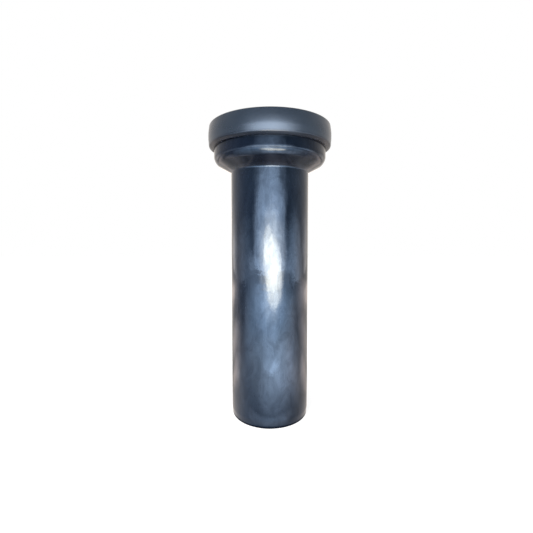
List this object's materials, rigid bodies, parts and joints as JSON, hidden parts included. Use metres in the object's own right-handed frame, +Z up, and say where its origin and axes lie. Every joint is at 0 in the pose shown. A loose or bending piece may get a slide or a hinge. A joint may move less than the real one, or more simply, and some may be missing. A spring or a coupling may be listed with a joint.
{
  "type": "toilet outlet pipe",
  "caption": "Straight drain pipe with a wide socket and a rubber lip seal that joins a toilet pan's outlet to a soil pipe.",
  "frame": {"origin": "on the axis, at the cut end of the pipe", "axes": "+Z up the pipe's axis from the cut end to the socket and its seal"},
  "size_m": [0.1418, 0.1418, 0.335],
  "materials": {
    "pipe_moulding": "glossy black polyethylene with fine lengthwise drawing lines",
    "seal_rubber": "satin black rubber with a soft grey bloom"
  },
  "bodies": {
    "root": {"outlet_pipe": "pipe_moulding", "lip_seal": "seal_rubber"}
  },
  "joints": []
}
